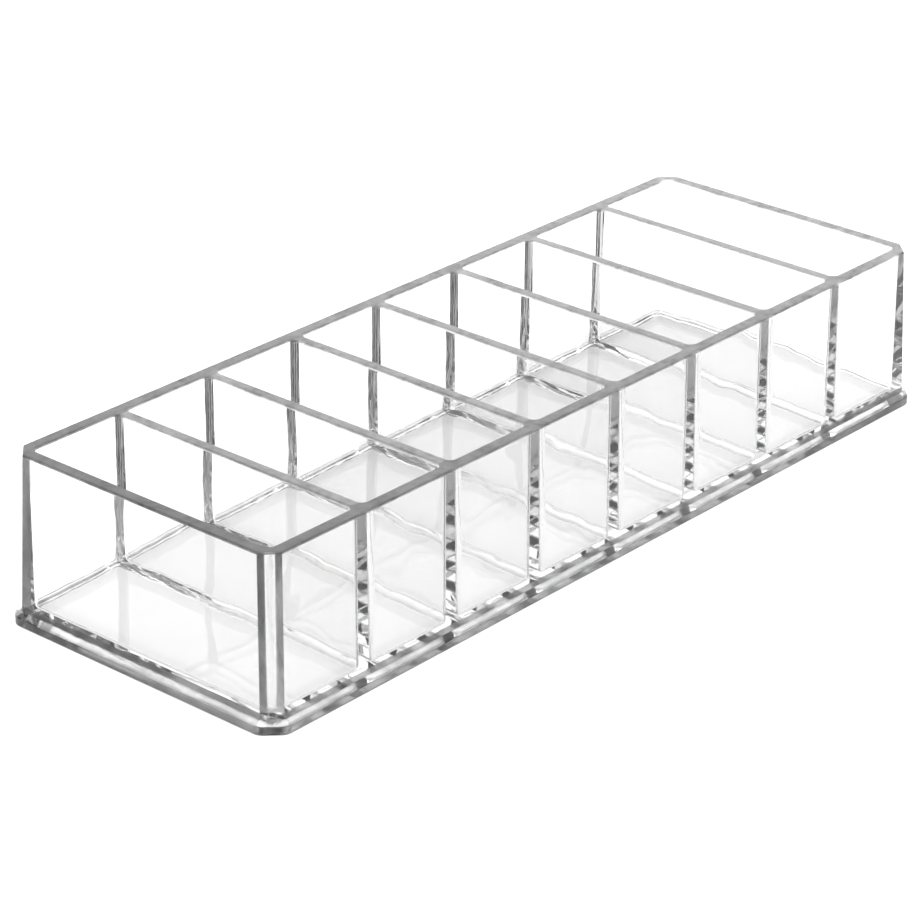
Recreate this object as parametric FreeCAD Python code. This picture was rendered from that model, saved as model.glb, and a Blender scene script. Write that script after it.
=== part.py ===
import FreeCAD, Part
import math
import os

V = FreeCAD.Vector

# Clear divided tray: bevelled base plate, four drafted walls mitred at the
# corners and seven cross dividers, all cemented face to face.
# Frame: +X along the tray, -Y towards the front wall, +Z up, origin at the
# centre of the footprint on the surface that the tray stands on.

# ---- driving dimensions, mm -------------------------------------------------
RIM_LENGTH = 248.0        # outside length at the rim
RIM_WIDTH = 84.0          # outside width at the rim
HEIGHT = 44.55            # resting surface to rim
WALL_DRAFT = 1.45         # how far the outer faces lean out from rim to base
CORNER_CHAMFER = 4.0      # leg of the flat on each upright corner, at the rim
FOOT_OVERHANG = 1.65      # base edge beyond the foot of the wall
FOOT_EDGE = 2.3           # height of the upright part of the base edge
FOOT_TOP = 3.3            # where the bevel of the base edge meets the wall
FOOT_CHAMFER = 4.8        # leg of the flat on each corner of the base edge
FOOT_CORNER_ROUND = 3.5   # upright rounding at both ends of those flats
FOOT_ROUND = 0.35         # rounding of the base's lower edge and of the bevel's edge
EDGE_ROUND = 0.5          # rounding of the rim's edges
FLOOR = 3.7               # thickness of the floor

COMPARTMENTS = 8
RIM_THICKNESS = 3.5       # wall thickness at the rim
DIVIDER_THICKNESS = 3.1   # divider thickness at the rim
INNER_DRAFT = 0.32        # how far each compartment face leans in, rim to floor
JUNCTION_ROUND = 1.6      # upright rounding where dividers meet the long walls
CORNER_ROUND = 1.8        # upright rounding in the tray's own corners
FLOOR_ROUND = 1.3         # rounding between the floor and the upright faces

LEDGE = 1.0               # height of the base's ledges that carry walls and dividers
RIB = 1.2                 # depth of the walls' ribs that the dividers' ends meet
CEMENT = 0.02             # film of cement between bonded faces

# ---- derived -----------------------------------------------------------------
HX, HY = RIM_LENGTH / 2.0, RIM_WIDTH / 2.0
INNER_LENGTH = RIM_LENGTH - 2.0 * RIM_THICKNESS
INNER_WIDTH = RIM_WIDTH - 2.0 * RIM_THICKNESS
CELL = (INNER_LENGTH - (COMPARTMENTS - 1) * DIVIDER_THICKNESS) / COMPARTMENTS
PITCH = CELL + DIVIDER_THICKNESS
SEAM_Z = FLOOR + LEDGE
SEAM_X = INNER_LENGTH / 2.0 - INNER_DRAFT - RIB
SEAM_Y = INNER_WIDTH / 2.0 - INNER_DRAFT - RIB


def lean(z):
    """Outward offset of the wall's outer face from the rim outline."""
    return WALL_DRAFT * (HEIGHT - z) / HEIGHT


def arc_corner(before, corner, after, radius):
    """Start, middle and end of the tangent arc that rounds one corner."""
    a = (before - corner).normalize()
    b = (after - corner).normalize()
    half = a.getAngle(b) / 2.0
    reach = radius / math.tan(half)
    start, end = corner + a * reach, corner + b * reach
    bisector = (a + b).normalize()
    centre = corner + bisector * (radius / math.sin(half))
    return start, centre - bisector * radius, end


def band(half_width, angle, reach, spread=1.0):
    """Slab with leaning sides and a rounded rim, along one direction."""
    foot = half_width + spread * lean(0)
    ring = [V(foot, 0, 0), V(half_width, HEIGHT, 0), V(-half_width, HEIGHT, 0), V(-foot, 0, 0)]
    near = arc_corner(ring[0], ring[1], ring[2], EDGE_ROUND)
    far = arc_corner(ring[1], ring[2], ring[3], EDGE_ROUND)
    edges = [
        Part.LineSegment(ring[0], near[0]).toShape(),
        Part.Arc(*near).toShape(),
        Part.LineSegment(near[2], far[0]).toShape(),
        Part.Arc(*far).toShape(),
        Part.LineSegment(far[2], ring[3]).toShape(),
        Part.LineSegment(ring[3], ring[0]).toShape(),
    ]
    face = Part.Face(Part.Wire(edges))
    # profile plane: offset along the turned Y axis, height along Z
    face.rotate(V(0, 0, 0), V(1, 0, 0), 90)
    face.rotate(V(0, 0, 0), V(0, 0, 1), 90)
    slab = face.extrude(V(2 * reach, 0, 0))
    slab.translate(V(-reach, 0, 0))
    slab.rotate(V(0, 0, 0), V(0, 0, 1), angle)
    return slab


def rounded_polygon(corners, radii):
    """Closed wire through the corners, each rounded by its own radius."""
    count = len(corners)
    edges, last, first = [], None, None
    for i in range(count):
        start, middle, end = arc_corner(corners[i - 1], corners[i], corners[(i + 1) % count], radii[i])
        if last is not None:
            edges.append(Part.LineSegment(last, start).toShape())
        else:
            first = start
        edges.append(Part.Arc(start, middle, end).toShape())
        last = end
    edges.append(Part.LineSegment(last, first).toShape())
    return Part.Wire(edges)


def base_outline(inset, z):
    """Outline of the base edge: a rectangle with flat corners, drawn in by inset."""
    x = HX + lean(FOOT_TOP) + FOOT_OVERHANG - inset
    y = HY + lean(FOOT_TOP) + FOOT_OVERHANG - inset
    c = FOOT_CHAMFER - inset * (2.0 - math.sqrt(2.0))
    corners = [V(-x + c, -y, z), V(x - c, -y, z), V(x, -y + c, z), V(x, y - c, z),
               V(x - c, y, z), V(-x + c, y, z), V(-x, y - c, z), V(-x, -y + c, z)]
    return rounded_polygon(corners, [FOOT_CORNER_ROUND - inset] * 8)


def base_flange():
    """Base edge that stands proud of the walls: upright below, bevelled above."""
    plate = Part.Face(base_outline(0, 0)).extrude(V(0, 0, FOOT_EDGE))
    rise = (FOOT_TOP - FOOT_EDGE) / FOOT_OVERHANG
    run = FOOT_OVERHANG + 0.6
    bevel = Part.makeLoft([base_outline(0, FOOT_EDGE), base_outline(run, FOOT_EDGE + rise * run)], True, True)
    whole = plate.fuse(bevel).removeSplitter()
    loops = [e for e in whole.Edges
             if e.BoundBox.ZLength < 1e-4 and e.BoundBox.ZMax < FOOT_EDGE + 1e-3]
    return whole.makeFillet(FOOT_ROUND, loops)


def rounded_rectangle(x0, x1, y0, y1, z, radii):
    """Closed wire, radii given at (x0,y0), (x1,y0), (x1,y1), (x0,y1)."""
    return rounded_polygon([V(x0, y0, z), V(x1, y0, z), V(x1, y1, z), V(x0, y1, z)], radii)


def compartment(left, right):
    """Hollow of one compartment from x = 0, wider at the rim than at the floor."""
    y1 = INNER_WIDTH / 2.0
    above = 3.0
    slope = INNER_DRAFT / (HEIGHT - FLOOR)
    wires = []
    for z in (FLOOR, HEIGHT + above):
        d = slope * (HEIGHT - z)
        wires.append(rounded_rectangle(d, CELL - d, -y1 + d, y1 - d, z, (left, right, right, left)))
    hollow = Part.makeLoft(wires, True, True)
    bottom = [e for e in hollow.Edges if abs(e.BoundBox.ZMax - FLOOR) < 1e-4]
    return hollow.makeFillet(FLOOR_ROUND, bottom)


def block(x0, x1, y0, y1, z0, z1):
    return Part.makeBox(x1 - x0, y1 - y0, z1 - z0, V(x0, y0, z0))


def prism(points, z0, z1):
    wire = Part.makePolygon([V(x, y, z0) for x, y in points + points[:1]])
    return Part.Face(wire).extrude(V(0, 0, z1 - z0))


def single(shape):
    """The one solid of a cut, with split faces merged."""
    solids = shape.removeSplitter().Solids
    assert len(solids) == 1, len(solids)
    return solids[0]


# ---- whole outline, then the eight hollows -------------------------------------
corner_half = (HX + HY - CORNER_CHAMFER) / math.sqrt(2.0)
outer = band(HY, 0, 200).common(band(HX, 90, 120))
# the corner flats lean so that they keep the same width from rim to base
for turn in (45, -45):
    outer = outer.common(band(corner_half, turn, 220, math.sqrt(2.0)))
body = outer
first = compartment(CORNER_ROUND, JUNCTION_ROUND)
middle = compartment(JUNCTION_ROUND, JUNCTION_ROUND)
last = compartment(JUNCTION_ROUND, CORNER_ROUND)
for i in range(COMPARTMENTS):
    hollow = (first if i == 0 else last if i == COMPARTMENTS - 1 else middle).copy()
    hollow.translate(V(-INNER_LENGTH / 2.0 + i * PITCH, 0, 0))
    body = body.cut(hollow)
body = body.removeSplitter()

# rounded inner edges of the rim, one closed loop round each compartment
rim_loops = []
for e in body.Edges:
    box = e.BoundBox
    if abs(box.ZMin - HEIGHT) < 1e-4 and abs(box.ZMax - HEIGHT) < 1e-4:
        if abs(box.Center.x) < INNER_LENGTH / 2 + 0.05 and abs(box.Center.y) < INNER_WIDTH / 2 + 0.05:
            rim_loops.append(e)
body = body.makeFillet(EDGE_ROUND, rim_loops)
print("body valid", body.isValid(), "volume cm3", round(body.Volume / 1000.0, 2))

# ---- bonded pieces --------------------------------------------------------------
g = CEMENT / 2.0
FAR = 400.0
os.makedirs("parts", exist_ok=True)
pieces = {}

low = single(body.common(block(-FAR, FAR, -FAR, FAR, -1, SEAM_Z - g)))
pieces["base_plate"] = single(low.fuse(base_flange()))
upper = body.common(block(-FAR, FAR, -FAR, FAR, SEAM_Z + g, HEIGHT + 1))

# walls: mitred at the corners, with the rounded inner corners shared at the mitre
a, b = SEAM_X + g, SEAM_Y + g
reach, tuck = 60.0, 3.0
m = g * (math.sqrt(2.0) - 1.0)
front = [(-a + m + tuck, -b + tuck), (-a + 2 * tuck, -b), (a - 2 * tuck, -b), (a - m - tuck, -b + tuck),
         (a - m + reach, -b - reach), (-a + m - reach, -b - reach)]
rear = [(x, -y) for x, y in reversed(front)]
right = [(a - tuck, -b + m + tuck), (a, -b + 2 * tuck), (a, b - 2 * tuck), (a - tuck, b - m - tuck),
         (a + reach, b - m + reach), (a + reach, -b + m - reach)]
left = [(-x, y) for x, y in reversed(right)]
for name, outline in (("front_wall", front), ("rear_wall", rear), ("left_end_wall", left), ("right_end_wall", right)):
    pieces[name] = single(upper.common(prism(outline, 0, HEIGHT + 1)))

# dividers: what stands between the long walls' ribs
reach = DIVIDER_THICKNESS / 2.0 + JUNCTION_ROUND + 1.0
for i in range(1, COMPARTMENTS):
    xc = -INNER_LENGTH / 2.0 + i * PITCH - DIVIDER_THICKNESS / 2.0
    slab = block(xc - reach, xc + reach, -SEAM_Y + g, SEAM_Y - g, 0, HEIGHT + 1)
    pieces["divider_%d" % i] = single(upper.common(slab))

total = 0.0
for name, shape in pieces.items():
    assert shape.isValid() and shape.ShapeType == "Solid", name
    total += shape.Volume
    box = shape.BoundBox
    print("%-15s faces %3d  volume %8.1f mm3  x %.2f..%.2f  y %.2f..%.2f  z %.2f..%.2f" % (
        name, len(shape.Faces), shape.Volume, box.XMin, box.XMax, box.YMin, box.YMax, box.ZMin, box.ZMax))
    shape.exportStep("parts/%s.step" % name)
print("pieces", len(pieces), "volume cm3", round(total / 1000.0, 2), "cell", round(CELL, 2), "pitch", round(PITCH, 2))
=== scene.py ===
import math

import bpy
from mathutils import Matrix, Vector

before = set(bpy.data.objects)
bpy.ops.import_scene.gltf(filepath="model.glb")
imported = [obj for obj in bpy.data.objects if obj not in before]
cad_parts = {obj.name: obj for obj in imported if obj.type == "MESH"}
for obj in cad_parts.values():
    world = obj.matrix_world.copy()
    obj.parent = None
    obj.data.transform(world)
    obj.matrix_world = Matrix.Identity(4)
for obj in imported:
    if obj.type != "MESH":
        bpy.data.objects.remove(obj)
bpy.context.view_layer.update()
scene = bpy.context.scene
MM = 0.001

# Planes where the clear pieces are cemented together, as in the solids.
RIM_Z = 44.55 * MM
SEAM_Z = 4.7 * MM
SEAM_Y = 36.98 * MM
SEAM_X = 118.98 * MM


# ---- small node helpers -----------------------------------------------------------
class Tree:
    """Short hand for wiring one node tree."""

    def __init__(self, tree):
        self.tree = tree
        tree.nodes.clear()

    def node(self, kind, **settings):
        n = self.tree.nodes.new(kind)
        for key, value in settings.items():
            setattr(n, key, value)
        return n

    def join(self, source, target):
        self.tree.links.new(source, target)

    def math(self, operation, a, b=None, c=None):
        n = self.node("ShaderNodeMath", operation=operation)
        for socket, value in zip(n.inputs, (a, b, c)):
            if value is None:
                continue
            if isinstance(value, (int, float)):
                socket.default_value = value
            else:
                self.join(value, socket)
        return n.outputs[0]

    def near(self, value, target, tolerance):
        """1 where value is within tolerance of target."""
        return self.math("LESS_THAN", self.math("ABSOLUTE", self.math("SUBTRACT", value, target)), tolerance)

    def both(self, a, b):
        return self.math("MULTIPLY", a, b)

    def either(self, a, b):
        return self.math("MAXIMUM", a, b)


def cemented(t):
    """1 on the bonded faces, which vanish inside the solid cement joint, 0 elsewhere."""
    geometry = t.node("ShaderNodeNewGeometry")
    place = t.node("ShaderNodeSeparateXYZ")
    facing = t.node("ShaderNodeSeparateXYZ")
    t.join(geometry.outputs["Position"], place.inputs[0])
    t.join(geometry.outputs["True Normal"], facing.inputs[0])
    x, y, z = place.outputs
    nx, ny, nz = facing.outputs
    ax, ay = t.math("ABSOLUTE", x), t.math("ABSOLUTE", y)
    slack = 0.03 * MM
    on_base = t.both(t.near(z, SEAM_Z, slack), t.math("GREATER_THAN", t.math("ABSOLUTE", nz), 0.98))
    on_rib = t.both(t.near(ay, SEAM_Y, slack), t.math("GREATER_THAN", t.math("ABSOLUTE", ny), 0.98))
    skew = t.both(t.both(nx, ny), t.both(t.math("SIGN", x), t.math("SIGN", y)))
    on_mitre = t.both(t.near(t.math("SUBTRACT", ax, ay), SEAM_X - SEAM_Y, slack),
                      t.math("LESS_THAN", skew, -0.45))
    return t.either(on_base, t.either(on_rib, on_mitre))


def clear_acrylic(name, ripple_height, depth_grey):
    """Colourless moulded clear plastic: polished faces with faint flow ripple and rubbed-in haze, grey in the depth,
    and painted shade in the transmission colour at the rim and edges.
    """
    material = bpy.data.materials.new(name)
    material.use_nodes = True
    t = Tree(material.node_tree)
    out = t.node("ShaderNodeOutputMaterial")
    coords = t.node("ShaderNodeTexCoord")
    geometry = t.node("ShaderNodeNewGeometry")
    place = t.node("ShaderNodeSeparateXYZ")
    facing = t.node("ShaderNodeSeparateXYZ")
    t.join(geometry.outputs["Position"], place.inputs[0])
    t.join(geometry.outputs["True Normal"], facing.inputs[0])
    x, y, z = place.outputs
    ax, ay = t.math("ABSOLUTE", x), t.math("ABSOLUTE", y)
    anx, any_, anz = (t.math("ABSOLUTE", n) for n in facing.outputs)

    def noise(scale, detail, roughness):
        n = t.node("ShaderNodeTexNoise")
        n.inputs["Scale"].default_value = scale
        n.inputs["Detail"].default_value = detail
        n.inputs["Roughness"].default_value = roughness
        t.join(coords.outputs["Object"], n.inputs["Vector"])
        return n.outputs["Fac"]

    def span(value, low, high, at_low, at_high):
        n = t.node("ShaderNodeMapRange")
        for socket, number in zip(n.inputs[1:5], (low, high, at_low, at_high)):
            n.inputs[socket.name].default_value = number
        t.join(value, n.inputs["Value"])
        return n.outputs["Result"]

    # where the polish is poorer: rim, strips beside the upright corners, edge of the base, rounding behind the floor;
    # the same masks mark where shade is painted into the colour
    on_rim = t.math("GREATER_THAN", z, RIM_Z - 0.6 * MM)
    across = t.math("SUBTRACT", t.math("ADD", ax, ay), t.math("MULTIPLY", t.math("SUBTRACT", RIM_Z, z), LEAN))
    upright = t.both(t.math("GREATER_THAN", z, 5.0 * MM), t.math("LESS_THAN", t.math("MINIMUM", x, y), 0.0))
    flat = t.both(upright, t.both(t.math("GREATER_THAN", across, 161.7 * MM),
                                  t.math("GREATER_THAN", t.math("MINIMUM", anx, any_), 0.4)))
    along = t.math("SUBTRACT", t.math("SUBTRACT", ax, ay), 82.0 * MM)
    strip = t.both(flat, t.math("GREATER_THAN", t.math("ABSOLUTE", along), 1.55 * MM))
    beside = t.both(t.both(upright, t.math("GREATER_THAN", t.math("SUBTRACT", y, x), 100.0 * MM)),
                    t.both(t.math("GREATER_THAN", across, 159.3 * MM), t.math("GREATER_THAN", anx, 0.9)))
    corner = t.either(flat, beside)
    flange = t.either(t.math("LESS_THAN", y, -43.1 * MM),
                      t.either(t.math("LESS_THAN", x, -125.1 * MM),
                               t.both(t.math("GREATER_THAN", across, 164.2 * MM), t.math("LESS_THAN", y, 0.0))))
    flange = t.both(flange, t.math("LESS_THAN", z, 5.0 * MM))
    edge = t.both(flange, t.math("LESS_THAN", anz, 0.4))
    skirt = t.either(t.math("LESS_THAN", y, -42.6 * MM), t.math("LESS_THAN", x, -124.6 * MM))
    skirt = t.both(t.both(skirt, t.math("LESS_THAN", z, SEAM_Z)), t.math("SUBTRACT", 1.0, flange))
    rounded = t.both(t.math("LESS_THAN", t.either(anx, t.either(any_, anz)), 0.97), t.math("LESS_THAN", z, RIM_Z - 2 * MM))
    behind = t.math("GREATER_THAN", y, 33.0 * MM)
    low = t.both(t.math("LESS_THAN", z, 5.6 * MM), t.math("GREATER_THAN", y, -33.0 * MM))
    lively = t.both(rounded, t.either(behind, low))
    floor_line = t.both(t.both(rounded, behind), t.both(t.math("GREATER_THAN", anz, 0.2), t.math("LESS_THAN", y, 41.0 * MM)))

    # slow flow ripple of the moulded faces, and livelier flow marks in the roundings
    ripple = t.node("ShaderNodeBump")
    ripple.inputs["Strength"].default_value = 1.0
    ripple.inputs["Distance"].default_value = ripple_height
    t.join(noise(45.0, 1.0, 0.35), ripple.inputs["Height"])
    marks = t.node("ShaderNodeBump")
    marks.inputs["Strength"].default_value = 1.0
    t.join(t.math("MULTIPLY", lively, FLOW_MARKS), marks.inputs["Distance"])
    t.join(noise(170.0, 2.0, 0.5), marks.inputs["Height"])
    t.join(ripple.outputs["Normal"], marks.inputs["Normal"])
    outer = t.both(t.either(t.math("LESS_THAN", y, -40.6 * MM),
                            t.math("MULTIPLY", t.math("LESS_THAN", x, -122.6 * MM), 0.3)),
                   t.both(t.math("GREATER_THAN", z, 5.0 * MM), t.math("LESS_THAN", z, RIM_Z - 1.0 * MM)))
    waves = t.node("ShaderNodeBump")
    waves.inputs["Strength"].default_value = 1.0
    t.join(t.math("MULTIPLY", outer, WAVES), waves.inputs["Distance"])
    t.join(noise(110.0, 0.0, 0.5), waves.inputs["Height"])
    t.join(marks.outputs["Normal"], waves.inputs["Normal"])

    # handling haze: patches of slightly less perfect polish
    haze = span(noise(90.0, 6.0, 0.6), 0.35, 0.75, 0.0, 0.03)
    dull = t.either(t.math("MULTIPLY", on_rim, RIM_DULL),
                    t.either(t.math("MULTIPLY", corner, CORNER_DULL), t.math("MULTIPLY", flange, FLANGE_DULL)))

    # painted shade: grey painted into the transmission colour of the rim, base edge, skirt, corner strips and floor
    # rounding, standing in for the shade seen there; mottled, and painted lighter towards one end of the rim
    mottle = span(noise(420.0, 3.0, 0.6), 0.3, 0.7, -0.5, 0.5)
    patches = span(noise(110.0, 2.0, 0.5), 0.3, 0.7, -0.5, 0.5)
    mottle = t.math("ADD", t.math("MULTIPLY", mottle, 0.6), t.math("MULTIPLY", patches, 0.6))
    sideways = t.math("GREATER_THAN", anx, 0.6)

    def painted_shade_at(where, painted_lightness, unevenness):
        """How much shade is painted into the transmission colour at the marked faces."""
        share = t.math("MAXIMUM", t.math("MULTIPLY_ADD", mottle, unevenness, 1.0), 0.15)
        return t.both(where, t.math("SUBTRACT", 1.0, t.math("MULTIPLY", painted_lightness, share)))

    def by_side(front, side):
        """One value on faces that look along y, another on faces that look along x."""
        return t.math("MULTIPLY_ADD", sideways, t.math("SUBTRACT", side, front), front)

    on_divider = t.both(t.math("LESS_THAN", ay, 37.5 * MM), t.math("LESS_THAN", ax, 115.0 * MM))
    # painted light: the rim's painted shade fades along x, so the +x end is painted lighter
    rim_shade_fade = span(x, -124 * MM, 124 * MM, RIM_SHADE_FADE[0], RIM_SHADE_FADE[1])
    painted_shade_amount = painted_shade_at(on_rim, t.math("MULTIPLY_ADD", on_divider, 0.4, rim_shade_fade), 1.3)
    painted_shade_amount = t.either(painted_shade_amount, painted_shade_at(edge, by_side(0.12, 0.06), 1.4))
    painted_shade_amount = t.either(painted_shade_amount, painted_shade_at(flange, 0.36, 1.0))
    painted_shade_amount = t.either(painted_shade_amount, painted_shade_at(skirt, 0.16, 1.2))
    painted_shade_amount = t.either(painted_shade_amount, painted_shade_at(t.both(flange, t.math("LESS_THAN", z, 0.6 * MM)), 0.04, 1.0))
    painted_shade_amount = t.either(painted_shade_amount, painted_shade_at(strip, span(along, -1.5 * MM, 1.5 * MM, 0.6, 0.22), 0.8))
    painted_shade_amount = t.either(painted_shade_amount, painted_shade_at(beside, 0.24, 0.8))
    painted_shade_amount = t.either(painted_shade_amount, painted_shade_at(floor_line, span(x, -124 * MM, 124 * MM, 0.22, 0.9), 1.4))
    unshaded_share = t.math("SUBTRACT", 1.0, painted_shade_amount)
    painted_shade_tint = t.node("ShaderNodeMix", data_type="RGBA")
    painted_shade_tint.inputs["A"].default_value = (0.0, 0.0, 0.0, 1.0)
    painted_shade_tint.inputs["B"].default_value = (1.0, 1.0, 1.0, 1.0)
    t.join(unshaded_share, painted_shade_tint.inputs["Factor"])

    glass = t.node("ShaderNodeBsdfPrincipled")
    # painted shade: the grey share darkens the base colour, which tints the light passing through
    t.join(painted_shade_tint.outputs["Result"], glass.inputs["Base Color"])
    glass.inputs["Transmission Weight"].default_value = 1.0
    glass.inputs["IOR"].default_value = 1.49
    t.join(t.either(haze, dull), glass.inputs["Roughness"])
    t.join(waves.outputs["Normal"], glass.inputs["Normal"])

    clear = t.node("ShaderNodeBsdfTransparent")
    path = t.node("ShaderNodeLightPath")
    open_to = t.either(cemented(t), path.outputs["Is Shadow Ray"])
    mix = t.node("ShaderNodeMixShader")
    t.join(open_to, mix.inputs[0])
    t.join(glass.outputs[0], mix.inputs[1])
    t.join(clear.outputs[0], mix.inputs[2])
    t.join(mix.outputs[0], out.inputs["Surface"])

    depth = t.node("ShaderNodeVolumeAbsorption")
    depth.inputs["Color"].default_value = (0.0, 0.0, 0.0, 1.0)
    depth.inputs["Density"].default_value = depth_grey
    t.join(depth.outputs[0], out.inputs["Volume"])
    return material


FLOW_MARKS = 0.35 * MM
WAVES = 0.16 * MM
RIM_DULL = 0.45
CORNER_DULL = 0.25
FLANGE_DULL = 0.15
# fade of the painted rim shade at the -x and +x ends; the larger value paints that end lighter
RIM_SHADE_FADE = (0.1, 0.72)
LEAN = 2 * math.tan(math.radians(1.45))

# the walls and dividers ripple more than the flat base
panels = clear_acrylic("clear_acrylic", 0.3 * MM, 16.0)
base = clear_acrylic("clear_acrylic_base", 0.04 * MM, 1.0)
for name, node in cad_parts.items():
    node.data.materials.clear()
    node.data.materials.append(base if name == "base_plate" else panels)

# ---- floor ---------------------------------------------------------------------------
floor_mesh = bpy.data.meshes.new("studio_floor")
reach = 12.0
floor_mesh.from_pydata([(-reach, -reach, 0), (reach, -reach, 0), (reach, reach, 0), (-reach, reach, 0)], [], [(0, 1, 2, 3)])
floor = bpy.data.objects.new("studio_floor", floor_mesh)
floor.location.z = -0.0002
scene.collection.objects.link(floor)
pale = bpy.data.materials.new("studio_floor")
pale.use_nodes = True
t = Tree(pale.node_tree)
out = t.node("ShaderNodeOutputMaterial")
paint = t.node("ShaderNodeBsdfDiffuse")
paint.inputs["Color"].default_value = (0.9, 0.9, 0.9, 1)
t.join(paint.outputs[0], out.inputs["Surface"])
floor_mesh.materials.append(pale)

# ---- light: soft overhead light, a white backdrop behind the tray, a dim room elsewhere ----
world = bpy.data.worlds.new("studio")
scene.world = world
world.use_nodes = True
t = Tree(world.node_tree)
out = t.node("ShaderNodeOutputWorld")
coords = t.node("ShaderNodeTexCoord")
split = t.node("ShaderNodeSeparateXYZ")
t.join(coords.outputs["Generated"], split.inputs[0])


def by_height(stops):
    """Grey that follows the height above the horizon, as (sine of elevation, value) stops."""
    ramp = t.node("ShaderNodeValToRGB")
    ends = ramp.color_ramp.elements
    ends[0].position, ends[1].position = stops[0][0], stops[-1][0]
    ends[0].color = (stops[0][1],) * 3 + (1,)
    ends[1].color = (stops[-1][1],) * 3 + (1,)
    for at, value in stops[1:-1]:
        ends.new(at).color = (value,) * 3 + (1,)
    t.join(split.outputs["Z"], ramp.inputs[0])
    return ramp.outputs["Color"]


room = by_height(((0.0, 1.0), (0.1, 0.9), (0.25, 0.05), (0.55, 0.03), (0.8, 0.35), (1.0, 1.0)))
backdrop = by_height(((0.0, 1.0), (0.15, 2.0), (0.6, 2.0), (0.85, 0.4), (1.0, 1.0)))
ahead = t.math("ADD", t.math("MULTIPLY", split.outputs["X"], 0.755), t.math("MULTIPLY", split.outputs["Y"], 0.655))
spread = t.node("ShaderNodeMapRange", interpolation_type="SMOOTHSTEP")
spread.inputs["From Min"].default_value = 0.2
spread.inputs["From Max"].default_value = 0.55
t.join(ahead, spread.inputs["Value"])
blend = t.node("ShaderNodeMix", data_type="RGBA")
t.join(spread.outputs["Result"], blend.inputs["Factor"])
t.join(room, blend.inputs["A"])
t.join(backdrop, blend.inputs["B"])
back = t.node("ShaderNodeBackground")
back.inputs["Strength"].default_value = 1.0
t.join(blend.outputs["Result"], back.inputs["Color"])
t.join(back.outputs[0], out.inputs["Surface"])

sun = bpy.data.lights.new("soft_overhead", "SUN")
sun.energy = 4.1
sun.angle = math.radians(70)
overhead = bpy.data.objects.new("soft_overhead", sun)
overhead.rotation_euler = (math.radians(12), math.radians(-8), 0)
scene.collection.objects.link(overhead)

# ---- camera at the photograph's angle ---------------------------------------------------
AZIMUTH, ELEVATION, ROLL = -49.077, 25.207, 0.452
SCALE = 0.992 * MM
DISTANCE, SHIFT_RIGHT, SHIFT_UP = 921.971 * SCALE, -7.709 * SCALE, 10.498 * SCALE
FOCAL_PIXELS = 3570.262
a, e, r = math.radians(AZIMUTH), math.radians(ELEVATION), math.radians(ROLL)
backward = Vector((math.sin(a) * math.cos(e), -math.cos(a) * math.cos(e), math.sin(e)))
level = Vector((0, 0, 1)).cross(backward).normalized()
upward = backward.cross(level)
right = math.cos(r) * level + math.sin(r) * upward
up = -math.sin(r) * level + math.cos(r) * upward
place = backward * DISTANCE + right * SHIFT_RIGHT + up * SHIFT_UP + Vector((0, 0, 0.25 * MM))
camera_data = bpy.data.cameras.new("photo_camera")
camera_data.sensor_fit = "HORIZONTAL"
camera_data.sensor_width = 36.0
camera_data.lens = FOCAL_PIXELS / 920.0 * 36.0
camera_data.clip_start = 0.01
camera_data.clip_end = 100.0
camera = bpy.data.objects.new("photo_camera", camera_data)
camera.matrix_world = Matrix((
    (right.x, up.x, backward.x, place.x),
    (right.y, up.y, backward.y, place.y),
    (right.z, up.z, backward.z, place.z),
    (0, 0, 0, 1)))
scene.collection.objects.link(camera)
scene.camera = camera

# ---- how light is followed through many clear faces ---------------------------------------
scene.view_settings.view_transform = "Standard"
scene.view_settings.look = "None"
scene.view_settings.exposure = 0.0
scene.cycles.max_bounces = 48
scene.cycles.transmission_bounces = 48
scene.cycles.glossy_bounces = 24
scene.cycles.diffuse_bounces = 4
scene.cycles.transparent_max_bounces = 96
scene.cycles.caustics_reflective = False
scene.cycles.caustics_refractive = False
